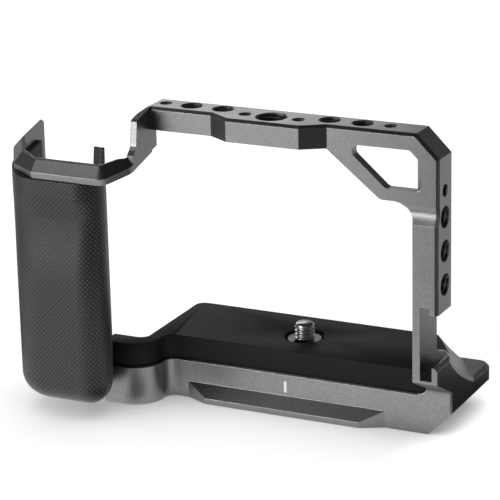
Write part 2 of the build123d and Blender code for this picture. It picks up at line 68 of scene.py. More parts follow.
# %% [markdown]
# ## Camera
# A long lens from far away keeps the long edges of the cage nearly parallel. The camera could
# be aimed at a target by a constraint. Here its matrix is built instead, as three directions
# side by side: right, up and backwards. They follow from three angles, so the angles stay
# readable, and the view depends on nothing else in the scene.

# %% Camera
CAMERA_PLACE = Vector((308.03, -662.62, 284.92)) * MM
TURN, TILT, ROLL = (math.radians(angle) for angle in (25.67, 18.03, -1.14))
LENS, SENSOR_WIDTH = 176.16, 36.0
SHIFT_ACROSS, SHIFT_UP = -0.0470, 0.0121


def look_directions(turn, tilt, roll):
    """Right, up and backwards. The view turns about the vertical, tilts down, and then rolls
    about itself. Upright is the cross product of level and ahead."""
    level = Vector((math.cos(turn), math.sin(turn), 0))
    ahead = Vector((-math.sin(turn) * math.cos(tilt), math.cos(turn) * math.cos(tilt),
                    -math.sin(tilt)))
    upright = level.cross(ahead)
    right = level * math.cos(roll) + upright * math.sin(roll)
    up = upright * math.cos(roll) - level * math.sin(roll)
    return right, up, -ahead


camera_data = bpy.data.cameras.new("camera")
camera_data.sensor_width, camera_data.lens = SENSOR_WIDTH, LENS
camera_data.shift_x, camera_data.shift_y = SHIFT_ACROSS, SHIFT_UP
camera_data.clip_start, camera_data.clip_end = 0.05, 20.0
camera = bpy.data.objects.new("camera", camera_data)
turned = Matrix(look_directions(TURN, TILT, ROLL)).transposed().to_4x4()
camera.matrix_world = Matrix.Translation(CAMERA_PLACE) @ turned
bpy.context.scene.collection.objects.link(camera)
bpy.context.scene.camera = camera
bpy.context.scene.view_settings.view_transform = "Standard"
print("lens", LENS, "mm, camera at", [round(v, 3) for v in camera.location])

# %% [markdown]
# ## Helpers for node trees
# The world and every material are graphs of nodes. Written out link by link such a graph is
# long and hard to read. So one helper adds a node together with its links and values, one
# makes a smooth step, and one does sums.

# %% Helpers for node trees
def add(tree, kind, *links, **values):
    """Adds a node. Links are pairs of an input and the socket that feeds it. Values set the
    node's properties, or its inputs, with an underscore for each space in an input's name."""
    node = tree.nodes.new(kind)
    for name, value in values.items():
        if hasattr(node, name):
            setattr(node, name, value)
        else:
            node.inputs[name.replace("_", " ")].default_value = value
    for name, socket in links:
        tree.links.new(socket, node.inputs[name])
    return node


def smooth_level(tree, socket, low, high, low_level, high_level):
    """A smooth step from one level to another while the input goes from low to high."""
    node = add(tree, "ShaderNodeMapRange", ("Value", socket), interpolation_type="SMOOTHSTEP")
    limits = {"From Min": low, "From Max": high, "To Min": low_level, "To Max": high_level}
    for name, value in limits.items():
        node.inputs[name].default_value = value
    return node.outputs["Result"]


def combined(tree, operation, *parts):
    """Sockets and numbers combined one after another, as in a product or a maximum."""
    total = parts[0]
    for part in parts[1:]:
        node = add(tree, "ShaderNodeMath", operation=operation)
        for index, value in enumerate((total, part)):
            if isinstance(value, (int, float)):
                node.inputs[index].default_value = value
            else:
                tree.links.new(value, node.inputs[index])
        total = node.outputs[0]
    return total


print("helpers:", add.__name__, smooth_level.__name__, combined.__name__)

# %% [markdown]
# Each material starts as an empty graph with only its output, and most of them mix colours.
# Blender's ready-made start, a grey shader, would first have to be found and changed.

# %% Helpers for materials
def new_material(name):
    """Empty node material, its tree, and its output node."""
    material = bpy.data.materials.new(name)
    material.use_nodes = True
    material.node_tree.nodes.clear()
    output = material.node_tree.nodes.new("ShaderNodeOutputMaterial")
    return material, material.node_tree, output


def mixed_colour(tree, factor, first, second):
    """Mix of two plain colours by a factor socket."""
    node = add(tree, "ShaderNodeMixRGB", ("Fac", factor), Color1=(*first, 1), Color2=(*second, 1))
    return node.outputs[0]


print("helpers:", new_material.__name__, mixed_colour.__name__)

# %% [markdown]
# ## Light
# Black anodised metal shows what surrounds it. So the studio is built from soft panels: a wide
# one low in front on the left for the front faces, one behind on the left for the top faces,
# and a small one close to the collar above the grip, which nothing else would light.

# %% Panels
SCENE_MIDDLE = Vector((-10, -10, 45)) * MM


def soft_panel(name, toward, distance, size, power):
    """Area light that stands off the middle of the object along a direction, and faces it.
    The distance and the size are in metres, and the power is in watts."""
    data = bpy.data.lights.new(name, "AREA")
    data.shape = "RECTANGLE"
    data.size, data.size_y = size
    data.energy = power
    lamp = bpy.data.objects.new(name, data)
    direction = Vector(toward).normalized()
    lamp.location = SCENE_MIDDLE + direction * distance
    lamp.rotation_euler = direction.to_track_quat("Z", "Y").to_euler()
    bpy.context.scene.collection.objects.link(lamp)


soft_panel("rear_panel", (-0.61, 0.70, 0.36), 0.75, (0.55, 0.30), 0.72)
soft_panel("front_panel", (-0.52, -0.80, 0.14), 1.1, (0.8, 0.30), 5.4)
soft_panel("collar_panel", (-0.50, -0.50, 0.70), 0.27, (0.12, 0.10), 0.032)

# %% [markdown]
# The room around the panels is the world. One plain grey would make every bevel as bright as
# the faces beside it. So reflections see a room that is grey near the horizon and nearly black
# overhead, which keeps the bevels dark. Matt surfaces get one plain level from all sides, and
# the camera sees white.

# %% Room
TONE_STARTS, TONE_ENDS = 0.10, 0.45
HORIZON_TONE, OVERHEAD_TONE, MATT_LEVEL = 0.42, 0.035, 0.75

world = bpy.data.worlds.new("studio")
bpy.context.scene.world = world
world.use_nodes = True
sky = world.node_tree
sky.nodes.clear()
rays = add(sky, "ShaderNodeLightPath").outputs
toward = add(sky, "ShaderNodeTexCoord").outputs["Generated"]
height = add(sky, "ShaderNodeSeparateXYZ", (0, toward)).outputs["Z"]
room_tone = smooth_level(sky, height, TONE_STARTS, TONE_ENDS, HORIZON_TONE, OVERHEAD_TONE)
matt_tone = combined(sky, "MULTIPLY", rays["Is Diffuse Ray"], MATT_LEVEL)
room = add(sky, "ShaderNodeBackground",
           ("Strength", combined(sky, "MAXIMUM", room_tone, matt_tone)), Color=(1, 1, 1, 1))
white = add(sky, "ShaderNodeBackground", Color=(1, 1, 1, 1))
seen_directly = combined(sky, "MAXIMUM", rays["Is Camera Ray"], rays["Is Transmission Ray"])
pick = add(sky, "ShaderNodeMixShader", ("Fac", seen_directly), (1, room.outputs[0]),
           (2, white.outputs[0]))
add(sky, "ShaderNodeOutputWorld", ("Surface", pick.outputs[0]))
print("room tone", HORIZON_TONE, "at the horizon and", OVERHEAD_TONE, "overhead")

# %% [markdown]
# ## Floor
# A dark object on white needs a floor that looks white and still takes the object's shadow. A
# bright floor alone would also shine into every face that looks down. So the floor is matt
# paint with two painted glows. The camera sees one all over, weaker close to the object, where
# ambient occlusion paints a contact shade, and stronger at the right end, which paints the
# shadow paler there. Reflections see the other, a painted reflection: bright in front, dimmer
# behind and at both sides, dark close to the object, and dimmed by a painted dark patch beside
# the round boss of the base.

# %% Regions of the floor's shine
RIGHT, LEFT, BACK = (1, 0, 0), (-1, 0, 0), (0, 1, 0)
TRACE = 0.02

# A step has a direction on the floor, its start and end along it in mm, and its two levels.
FRONT = [((0.33, -0.94, 0), -50, 20, 0.0, 1.1), ((1, -0.5, 0), 78, 115, 1.0, 0.0),
         (BACK, -35, 0, 1.0, 0.0)]
# Painted dark patch in the reflected glow beside the round boss; no object stands there.
SHINE_DARK_PATCH = [(RIGHT, -56, -45, 0.0, 0.85), (RIGHT, -36, -18, 1.0, 0.0),
        (BACK, -78, -62, 0.0, 1.0), (BACK, -36, -28, 1.0, 0.0)]
FAR_REGIONS = [
    [((0.43, 0.90, 0), 55, 190, 0.0, 0.6), (RIGHT, 0, 100, 0.0, 1.0)],
    [(BACK, 30, 90, 0.0, 0.6)],
    [(RIGHT, 120, 220, 0.0, 0.45), (BACK, -120, -60, 0.0, 1.0)],
    [(LEFT, 130, 240, 0.0, 0.4), (BACK, -80, -20, 0.0, 1.0)]]
print("regions: the front, its painted_dark_patch and", len(FAR_REGIONS), "far ones")

# %% Floor material
BRIGHT_PAINT, DULL_PAINT, CAMERA_GLOW = 0.85, 0.833, 0.36
CONTACT_SHADE, CONTACT_REACH = 0.35, 45
BOOST_START, BOOST_END, RIGHT_BOOST = 40, 70, 2.8


def floor_material():
    """A region's level is the product of its steps. The glow for reflections, a painted
    reflection, is the front times one less the painted dark patch, plus the strongest far region,
    plus a trace everywhere."""
    material, tree, output = new_material("studio_floor")
    spot = add(tree, "ShaderNodeTexCoord").outputs["Object"]

    def step(way, start, end, start_level, end_level):
        """Smooth step of the distance along a direction on the floor."""
        reach = add(tree, "ShaderNodeVectorMath", (0, spot), operation="DOT_PRODUCT")
        reach.inputs[1].default_value = way
        return smooth_level(tree, reach.outputs["Value"], start * MM, end * MM,
                            start_level, end_level)

    def region(steps):
        """Product of all its steps."""
        return combined(tree, "MULTIPLY", *[step(*numbers) for numbers in steps])

    front = combined(tree, "MULTIPLY", region(FRONT), combined(tree, "SUBTRACT", 1, region(SHINE_DARK_PATCH)))
    far = combined(tree, "MAXIMUM", *[region(steps) for steps in FAR_REGIONS])
    shine = combined(tree, "ADD", front, far, TRACE)
    painted_reflection = add(tree, "ShaderNodeEmission", ("Strength", shine))

    grain = add(tree, "ShaderNodeTexNoise", ("Vector", spot), Scale=40.0).outputs[0]
    paint = mixed_colour(tree, grain, [BRIGHT_PAINT] * 3, [DULL_PAINT] * 3)
    matt = add(tree, "ShaderNodeBsdfDiffuse", ("Color", paint))
    ray = add(tree, "ShaderNodeLightPath").outputs
    # Painted contact shadow: the camera's glow is weaker where ambient occlusion finds the object
    # near, and stronger at the right end.
    openness = add(tree, "ShaderNodeAmbientOcclusion", samples=8, Distance=CONTACT_REACH * MM)
    shaded = smooth_level(tree, openness.outputs["AO"], 0.1, 0.9, CONTACT_SHADE * CAMERA_GLOW,
                          CAMERA_GLOW)
    direct = combined(tree, "MAXIMUM", ray["Is Camera Ray"], ray["Is Transmission Ray"])
    glow = combined(tree, "MULTIPLY", direct, shaded,
                    step(RIGHT, BOOST_START, BOOST_END, 1.0, RIGHT_BOOST))
    light = add(tree, "ShaderNodeEmission", ("Strength", glow))
    seen = add(tree, "ShaderNodeAddShader", (0, matt.outputs[0]), (1, light.outputs[0]))
    both = add(tree, "ShaderNodeMixShader", ("Fac", ray["Is Glossy Ray"]), (1, seen.outputs[0]),
               (2, painted_reflection.outputs[0]))
    tree.links.new(both.outputs[0], output.inputs["Surface"])
    return material


studio_floor = floor_material()
print("floor nodes:", len(studio_floor.node_tree.nodes))

# %% [markdown]
# Every new surface in this script is a grid of points, worked out as whole arrays. A plane
# could be added ready-made for the floor, but the sleeve needs these two functions anyway, and
# every other new piece needs the second. The place of a piece is in its mesh, so its object
# stays at the origin.

# %% Meshes from grids, and the floor itself
FLOOR_HALF, FLOOR_LINES, FLOOR_Z = 4000.0, 9, -0.1


def grid_faces(rows, columns, start=0):
    """Quads of a grid that is stored row by row: corner, next in the row, next row's pair."""
    row, column = np.meshgrid(np.arange(rows - 1), np.arange(columns - 1), indexing="ij")
    corner = (start + row * columns + column).ravel()
    return np.stack([corner, corner + 1, corner + columns + 1, corner + columns], axis=1)


def new_mesh(name, points, faces, material, smooth=True):
    """Object from an array of points in millimetres and a list of faces."""
    mesh = bpy.data.meshes.new(name)
    mesh.from_pydata((np.asarray(points) * MM).tolist(), [], [list(map(int, f)) for f in faces])
    mesh.polygons.foreach_set("use_smooth", [smooth] * len(mesh.polygons))
    mesh.materials.append(material)
    mesh.update()
    piece = bpy.data.objects.new(name, mesh)
    bpy.context.scene.collection.objects.link(piece)
    return piece


lines = np.linspace(-FLOOR_HALF, FLOOR_HALF, FLOOR_LINES)
floor_y, floor_x = np.meshgrid(lines, lines, indexing="ij")
floor_points = np.stack([floor_x, floor_y, np.full_like(floor_x, FLOOR_Z)], axis=-1).reshape(-1, 3)
floor_faces = grid_faces(FLOOR_LINES, FLOOR_LINES)
floor = new_mesh("floor", floor_points, floor_faces, studio_floor, smooth=False)
print("floor", 2 * FLOOR_HALF * MM, "m square")

# %% [markdown]
# ## Finishes
# No real surface has one colour all over. So every finish here has a colour that drifts with
# a slow noise, a roughness that drifts too, and a fine bump. The main shader takes these three
# as links. What is the same all over, such as a sheen, stays a number on the shader itself.

# %% Parts that the finishes share
def drifting_colour(tree, factor, colour, share):
    """Colour that drifts by a share of itself to both sides, led by a factor socket."""
    return mixed_colour(tree, factor, [(1 - share) * c for c in colour],
                        [(1 + share) * c for c in colour])


def over_colour(tree, factor, base, colour, blend="MIX"):
    """Plain colour over a colour socket, by a factor socket."""
    node = add(tree, "ShaderNodeMixRGB", ("Fac", factor), ("Color1", base), blend_type=blend,
               Color2=(*colour, 1))
    return node.outputs[0]


def main_shader(tree, output, colour, rough, bump, **constants):
    """Shader with colour, roughness and bump linked, and the rest as constants on its sockets."""
    shader = add(tree, "ShaderNodeBsdfPrincipled", ("Base Color", colour), ("Roughness", rough),
                 ("Normal", bump.outputs[0]), **constants)
    tree.links.new(shader.outputs[0], output.inputs["Surface"])


print("shared parts:", drifting_colour.__name__, over_colour.__name__, main_shader.__name__)

# %% [markdown]
# Bead-blasted aluminium that is anodised black is still metal: it has no diffuse colour, only
# a dim, wide reflection. A fine noise bumps it as the blasting does, and darkens its specks.
# Real rounded edges on the imported pieces would need many more faces. So the bevel node rounds
# the edges for the shader alone. Where its normal leaves the true one there is an edge, and that
# is painted brighter: a painted highlight along every edge, which also stands for the wear that
# sharp anodised edges take.

# %% Anodised metal
SPECK_COLOUR, SPECK_STARTS, SPECK_ENDS = (0.78, 0.78, 0.785), 0.34, 0.66
EDGE_MATCH, FLAT_MATCH = 0.86, 0.992


def edge_mask(tree, rounded):
    """1 on an edge and 0 away from it. The rounded normal times the true one is 1 on a flat
    face and less where they part."""
    true = add(tree, "ShaderNodeNewGeometry").outputs["Normal"]
    match = add(tree, "ShaderNodeVectorMath", (0, rounded), (1, true), operation="DOT_PRODUCT")
    return smooth_level(tree, match.outputs["Value"], EDGE_MATCH, FLAT_MATCH, 1.0, 0.0)


def metal(name, colour, edge_wear_and_highlight_colour, roughness, grain_size, grain_depth, edge_radius):
    """Metal with a blasted or turned grain, slow changes of tone, and a painted highlight, with
    some wear, along its edges. The grain's size and depth and the edge's radius are in
    millimetres."""
    material, tree, output = new_material(name)
    where = add(tree, "ShaderNodeTexCoord").outputs["Object"]
    rounded = add(tree, "ShaderNodeBevel", samples=6, Radius=edge_radius * MM).outputs[0]
    grain = add(tree, "ShaderNodeTexNoise", ("Vector", where), Scale=1 / (grain_size * MM),
                Detail=3.0).outputs[0]
    cloud = add(tree, "ShaderNodeTexNoise", ("Vector", where), Scale=55.0, Detail=2.0).outputs[0]
    bump = add(tree, "ShaderNodeBump", ("Height", grain), ("Normal", rounded), Strength=0.5,
               Distance=grain_depth * MM)
    tone = drifting_colour(tree, cloud, colour, 0.07)
    specks = smooth_level(tree, grain, SPECK_STARTS, SPECK_ENDS, 0.0, 1.0)
    specked = over_colour(tree, specks, tone, SPECK_COLOUR, "MULTIPLY")
    # Painted highlight along every edge, partly standing for wear.
    wear_and_highlight = over_colour(tree, edge_mask(tree, rounded), specked, edge_wear_and_highlight_colour)
    rough = smooth_level(tree, cloud, 0.3, 0.7, roughness - 0.02, roughness + 0.03)
    main_shader(tree, output, wear_and_highlight, rough, bump, Metallic=1.0)
    return material


anodised = metal(
    "bead_blasted_black_anodised", (0.275, 0.275, 0.28), (0.60, 0.60, 0.61), roughness=0.34,
    grain_size=0.38, grain_depth=0.04, edge_radius=0.22)
print("first metal:", anodised.name, "with", len(anodised.node_tree.nodes), "nodes")

# %% [markdown]
# The other metals are turned, cut or drawn, not blasted. The same graph makes them, with a
# shallower grain: a darker copy of the anodising in the threads, as painted shade inside the
# holes, black oxide on the small screws and the clip, and bare steel for the camera screw and
# its ring.

# %% Other metals
# Painted shade: the threads take a darker copy of the anodising, standing for the shade inside the
# holes.
anodised_with_painted_shade = metal(
    "anodised_thread_painted_shade", (0.16, 0.16, 0.165), (0.60, 0.60, 0.61), roughness=0.34,
    grain_size=0.28, grain_depth=0.01, edge_radius=0.10)
black_steel = metal(
    "black_oxide_steel", (0.10, 0.10, 0.105), (0.30, 0.30, 0.31), roughness=0.35,
    grain_size=0.40, grain_depth=0.01, edge_radius=0.12)
turned_steel = metal(
    "turned_steel", (0.62, 0.62, 0.63), (0.85, 0.85, 0.86), roughness=0.30,
    grain_size=0.50, grain_depth=0.01, edge_radius=0.20)
print("other metals:", anodised_with_painted_shade.name, black_steel.name, turned_steel.name)

# %% [markdown]
# Rubber, plastic, enamel and nylon are not metal. Rubber is matt and nearly black. Moulded
# plastic has a fine spark-eroded texture, and enamel and nylon are pale. Each could have a
# graph of its own, but they differ only in numbers, so one function makes them all.

# %% Rubber, plastic, enamel and nylon
def moulded(name, colour, roughness, grain_size, grain_depth, drift, specular=0.5):
    """Moulded material with a fine bump, and a tone that drifts by a share of itself. The
    grain's size and depth are in millimetres."""
    material, tree, output = new_material(name)
    where = add(tree, "ShaderNodeTexCoord").outputs["Object"]
    rounded = add(tree, "ShaderNodeBevel", samples=4, Radius=0.15 * MM).outputs[0]
    grain = add(tree, "ShaderNodeTexNoise", ("Vector", where), Scale=1 / (grain_size * MM),
                Detail=4.0).outputs[0]
    cloud = add(tree, "ShaderNodeTexNoise", ("Vector", where), Scale=90.0, Detail=3.0).outputs[0]
    bump = add(tree, "ShaderNodeBump", ("Height", grain), ("Normal", rounded), Strength=0.6,
               Distance=grain_depth * MM)
    tone = drifting_colour(tree, cloud, colour, drift)
    rough = smooth_level(tree, grain, 0.3, 0.7, roughness - 0.04, roughness + 0.04)
    main_shader(tree, output, tone, rough, bump, Specular_IOR_Level=specular)
    return material


rubber = moulded("black_rubber", (0.009, 0.009, 0.009), roughness=0.62, grain_size=0.5,
                 grain_depth=0.03, drift=0.25, specular=0.16)
plastic = moulded("spark_eroded_plastic", (0.028, 0.028, 0.030), roughness=0.50, grain_size=0.4,
                  grain_depth=0.04, drift=0.08)
enamel = moulded("white_enamel", (0.85, 0.85, 0.83), roughness=0.35, grain_size=0.6,
                 grain_depth=0.01, drift=0.02)
nylon = moulded("white_nylon", (0.78, 0.78, 0.75), roughness=0.45, grain_size=0.6,
                grain_depth=0.02, drift=0.03)
print("moulded:", rubber.name, plastic.name, enamel.name, nylon.name)

# %% [markdown]
# The silicone of the grip is a little glossier than the rubber, with a faint sheen, and
# carries a field of small raised dots. They are too fine for the mesh alone, so the mesh lifts
# the field a little, and the shader gives each dot its crisp edge and paints it paler as a
# painted highlight. Both use the same formula on the sleeve's own UV map, which counts in dot
# steps along the path and up the wall.

# %% Dotted silicone
DOT_HIGHLIGHT_COLOUR, DOT_STARTS, DOT_ENDS = (0.085, 0.085, 0.087), 0.45, 0.85


def dotted_silicone(name, colour, roughness):
    """Silicone with dots. A dot is where the product of two cosines of the UV map is near one. It
    is smoother than the ground, and painted paler as a painted highlight."""
    material, tree, output = new_material(name)
    coordinates = add(tree, "ShaderNodeTexCoord").outputs
    uv = add(tree, "ShaderNodeSeparateXYZ", (0, coordinates["UV"])).outputs
    waves = [combined(tree, "COSINE", combined(tree, "MULTIPLY", uv[axis], math.pi), 0.0)
             for axis in ("X", "Y")]
    dots = smooth_level(tree, combined(tree, "MULTIPLY", *waves), DOT_STARTS, DOT_ENDS, 0, 1)
    cloud = add(tree, "ShaderNodeTexNoise", ("Vector", coordinates["Object"]), Scale=120.0,
                Detail=3.0).outputs[0]
    grain = add(tree, "ShaderNodeTexNoise", ("Vector", coordinates["Object"]), Scale=3500.0,
                Detail=2.0).outputs[0]
    fine = add(tree, "ShaderNodeBump", ("Height", grain), Strength=0.5, Distance=0.01 * MM)
    bump = add(tree, "ShaderNodeBump", ("Height", dots), ("Normal", fine.outputs[0]),
               Strength=1.0, Distance=0.12 * MM)
    # Painted highlight: each dot is painted paler than the ground.
    tone = over_colour(tree, dots, drifting_colour(tree, cloud, colour, 0.15), DOT_HIGHLIGHT_COLOUR)
    rough = smooth_level(tree, dots, 0.0, 1.0, roughness, roughness - 0.08)
    main_shader(tree, output, tone, rough, bump, Specular_IOR_Level=0.5, Sheen_Weight=0.04)
    return material


silicone = dotted_silicone("dotted_silicone", (0.006, 0.006, 0.0062), roughness=0.42)
print("silicone:", silicone.name)

# %% [markdown]
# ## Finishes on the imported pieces
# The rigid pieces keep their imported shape. Each could be made again with more detail, but at
# its real size and with rounded edges from the shader it already looks right. So each one only
# gets its finish, by its slot.

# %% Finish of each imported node
FINISHES = {
    anodised: ["cage_frame", "base_plate", "grip_frame"],
    black_steel: ["camera_screw_clip", "frame_screws", "arm_screws", "grip_screws",
                  "shell_screws"],
    turned_steel: ["camera_screw", "camera_screw_ring"],
    rubber: ["base_pad", "top_pad", "column_pad"],
    silicone: ["grip_sleeve"],
    plastic: ["grip_shell"],
    enamel: ["index_mark"],
    nylon: ["camera_screw_washer"]}

for finish, names in FINISHES.items():
    for name in names:
        for material_slot in nodes[name].material_slots:
            material_slot.material = finish
print("finished:", sum(map(len, FINISHES.values())), "of", len(nodes), "nodes")

# %% [markdown]
# ## Silicone sleeve
# The sleeve is a skin, two millimetres thick, around the core of the hand grip. It could be a
# box with modifiers, but its wall turns and slants in ways that are easier to say in numbers.
# Seen from above it is an open path: back to front along the left, round a wide corner, along
# the front, round a tight corner and slanting back. From the side, the wall runs straight down
# and turns in under the grip. So a point is one step along the path and one step along the
# wall: a grid.

# %% Measures of the sleeve
(sleeve_left, sleeve_front, SLEEVE_LOW), (_, SLEEVE_END, _) = box_in_mm("grip_sleeve")
SLEEVE_INNER, SLEEVE_OUTER = 1.4, 3.4
CORE_LEFT, CORE_FRONT = sleeve_left + SLEEVE_OUTER, sleeve_front + SLEEVE_OUTER
CORE_RIGHT = -48.8
WIDE_CORNER, TIGHT_CORNER, SHARPEST_CORNER = 9.6, 3.6, 0.03
slant_run = np.array([-11.3, 21.3])
SLANT = slant_run / np.linalg.norm(slant_run)
SLANT_LENGTH = 15.6
LOW_END, STEP_Z = -29.6, 20.7
TOP_AT_FRONT, TOP_SLOPE = 78.64, 0.25
print("core of the grip: left", CORE_LEFT, "front", round(CORE_FRONT, 1), "mm")

# %% Path of the sleeve
def path_point(along, spread, z):
    """Plan point at a share of the path, spread outwards, and its distance along the path.
    Straights are lines between their ends. A corner is its centre plus its radius times the
    normal, which turns. The spread only lengthens that radius. Below the step the slanted
    side ends further forward."""
    turn = math.acos(SLANT[0])
    wide = np.array([CORE_LEFT + WIDE_CORNER, CORE_FRONT + WIDE_CORNER])
    tight = np.array([CORE_RIGHT - TIGHT_CORNER * math.tan(turn / 2), CORE_FRONT + TIGHT_CORNER])
    lengths = np.array([SLEEVE_END - wide[1], (WIDE_CORNER + SLEEVE_OUTER) * math.pi / 2,
                        tight[0] - wide[0], (TIGHT_CORNER + SLEEVE_OUTER) * turn, SLANT_LENGTH])
    edges = np.concatenate([[0], np.cumsum(lengths) / lengths.sum()])
    part = np.clip(np.searchsorted(edges, along, side="right") - 1, 0, 4)
    share = (along - edges[part]) / (edges[part + 1] - edges[part])
    angle = np.select(
        [part == 0, part == 1, part == 2, part == 3],
        [np.pi, np.pi + share * np.pi / 2, 1.5 * np.pi, 1.5 * np.pi + share * turn],
        1.5 * np.pi + turn)
    normal = np.stack([np.cos(angle), np.sin(angle)], axis=-1)
    wide_radius = WIDE_CORNER + spread
    tight_radius = np.maximum(TIGHT_CORNER + spread, SHARPEST_CORNER)
    on_wide = wide + wide_radius[..., None] * normal
    on_tight = tight + tight_radius[..., None] * normal
    left = np.stack([wide[0] - wide_radius, SLEEVE_END + share * (wide[1] - SLEEVE_END)], axis=-1)
    front = np.stack([wide[0] + share * (tight[0] - wide[0]), wide[1] - wide_radius], axis=-1)
    rear_end = np.where(z < STEP_Z, LOW_END, SLEEVE_END)
    run = share * (rear_end - on_tight[..., 1]) / SLANT[1]
    slanted = on_tight + run[..., None] * SLANT
    point = np.select([(part == k)[..., None] for k in range(4)],
                      [left, on_wide, front, on_tight], slanted)
    return point, edges[part] * lengths.sum() + share * lengths[part]


PATH_MIDDLE = np.array([0.5])
middle_point, _ = path_point(PATH_MIDDLE, np.array([SLEEVE_OUTER]), TOP_AT_FRONT)
print("middle of the path, in plan:", middle_point.round(1))

# %% [markdown]
# The wall is the other half of the grid. Its rows are shared out as given: a few for the floor
# under the grip, about a tenth for the bend, and the rest for the straight wall, so that the
# bend stays round without wasting faces on the floor.

# %% Wall of the sleeve
FLOOR_SHARE, BEND_SHARE = 0.012, 0.115
OUTER_ROUND, INNER_ROUND, FLOOR_EDGE = 7.8, 4.0, -3.6


def ramp(low, high, value):
    """0 below, 1 above, and a straight line between."""
    return np.clip((value - low) / (high - low), 0, 1)


def smooth_step(low, high, value):
    """0 below, 1 above, and three squares less two cubes of the share between."""
    share = ramp(low, high, value)
    return share * share * (3 - 2 * share)


def wall_profile(rise, spread, low, radius, top):
    """Height and spread at a share of the wall, from the floor's edge up to the top. The bend
    is a quarter circle: spread is its middle plus radius times the cosine, and height is its
    middle minus radius times the sine. Above it the wall is straight, below it flat."""
    middle_z, middle_spread = low + radius, spread - radius
    angle = (1 - ramp(FLOOR_SHARE, BEND_SHARE, rise)) * np.pi / 2
    straight = rise >= BEND_SHARE
    z = np.where(straight, middle_z + ramp(BEND_SHARE, 1, rise) * (top - middle_z),
                 middle_z - radius * np.sin(angle))
    out = np.where(straight, spread, middle_spread + radius * np.cos(angle))
    return z, out + (1 - ramp(0, FLOOR_SHARE, rise)) * (FLOOR_EDGE - middle_spread)


print("the bend is", round(100 * (BEND_SHARE - FLOOR_SHARE)), "percent of the rows")

# %% [markdown]
# The outer face has its field of dots, and a crease below the index finger. Both are reliefs:
# numbers that are added to the spread of each grid point. Sculpting could do the same by hand,
# but a formula stays even over the whole face, and can be changed by one number.

# %% Dots and crease
DOT_STEP, DOT_HEIGHT = 0.76, 0.05
CREASE_Z, CREASE_DEPTH = 66.0, 1.6
CREASE_ABOVE, CREASE_BELOW = (-1.0, 7.0), (-22.0, 0.5)
CREASE_STARTS, CREASE_ENDS = (0.20, 0.36), (0.56, 0.72)


def dot_relief(length, up):
    """Height times the square of the raised product of two cosines, along the path and up the
    wall. It peaks on a staggered lattice."""
    product = np.cos(np.pi * length / DOT_STEP) * np.cos(np.pi * up / DOT_STEP)
    return DOT_HEIGHT * ((product + 1) / 2) ** 2


def crease_relief(along, z):
    """Dip across the front of the grip: the depth times three smooth steps. From above it goes
    in over 8 mm, below it comes back slowly over 22 mm, and along the path it fades out."""
    across = smooth_step(*CREASE_STARTS, along) * (1 - smooth_step(*CREASE_ENDS, along))
    upper = 1 - smooth_step(*CREASE_ABOVE, z - CREASE_Z)
    lower = smooth_step(*CREASE_BELOW, z - CREASE_Z)
    return -CREASE_DEPTH * upper * lower * across


crease_heights = np.arange(CREASE_Z - 22, CREASE_Z + 8)
deepest = crease_relief(PATH_MIDDLE, crease_heights).min()
print("dots every", DOT_STEP, "mm, crease", -round(float(deepest), 2), "mm deep")

# %% [markdown]
# Now both shares meet. The wall gives each grid point its height and its spread, the reliefs
# change the spread, and the path turns it into a place. The UV map could be unwrapped in the
# editor, but here the lengths are known already, so it counts them in steps of the dots.

# %% Face of the sleeve
TOP_FADE, LOW_FADE, END_FADE = (0.6, 1.1), (0.02, 0.05), (0, 0.02)


def sleeve_face(columns, rows, spread, low, radius, with_relief):
    """Grid of the wall's points, with its UV map. The dots fade out towards all four edges,
    and the ground lies one dot's height below the spread, so that no dot stands proud."""
    along, rise = np.meshgrid(np.linspace(0, 1, columns), np.linspace(0, 1, rows), indexing="xy")
    flat, _ = path_point(along, np.full_like(along, spread), np.full_like(along, TOP_AT_FRONT))
    top = TOP_AT_FRONT + TOP_SLOPE * (flat[..., 1] - CORE_FRONT)
    z, out = wall_profile(rise, spread, low, radius, top)
    _, length = path_point(along, out, z)
    lattice = np.full((*along.shape, 2), 0.5)
    if with_relief:
        bend_share = (rise - BEND_SHARE) / (BEND_SHARE - FLOOR_SHARE)
        up = np.where(rise >= BEND_SHARE, z - low - radius, bend_share * radius * np.pi / 2)
        fade = ramp(*TOP_FADE, top - z) * ramp(*LOW_FADE, rise)
        fade *= ramp(*END_FADE, along) * ramp(*END_FADE, 1 - along)
        out = out + fade * dot_relief(length, up) - DOT_HEIGHT + crease_relief(along, z)
        lattice = np.stack([length, up], axis=-1) / DOT_STEP
    point, _ = path_point(along, out, z)
    return np.concatenate([point, z[..., None]], axis=-1), lattice


sample, _ = sleeve_face(5, 5, SLEEVE_OUTER, SLEEVE_LOW, OUTER_ROUND, True)
print("highest point of the outer face:", sample[..., 2].max().round(2), "mm")

# %% [markdown]
# Two such grids make the skin. A Solidify modifier could give it its thickness, but the inner
# face is plain and needs no dots, so it is a coarser grid of its own, and strips close the
# gap between the two.

# %% Skin of the sleeve
COLUMNS, OUTER_ROWS, INNER_ROWS = 282, 326, 20
SKIN = SLEEVE_OUTER - SLEEVE_INNER


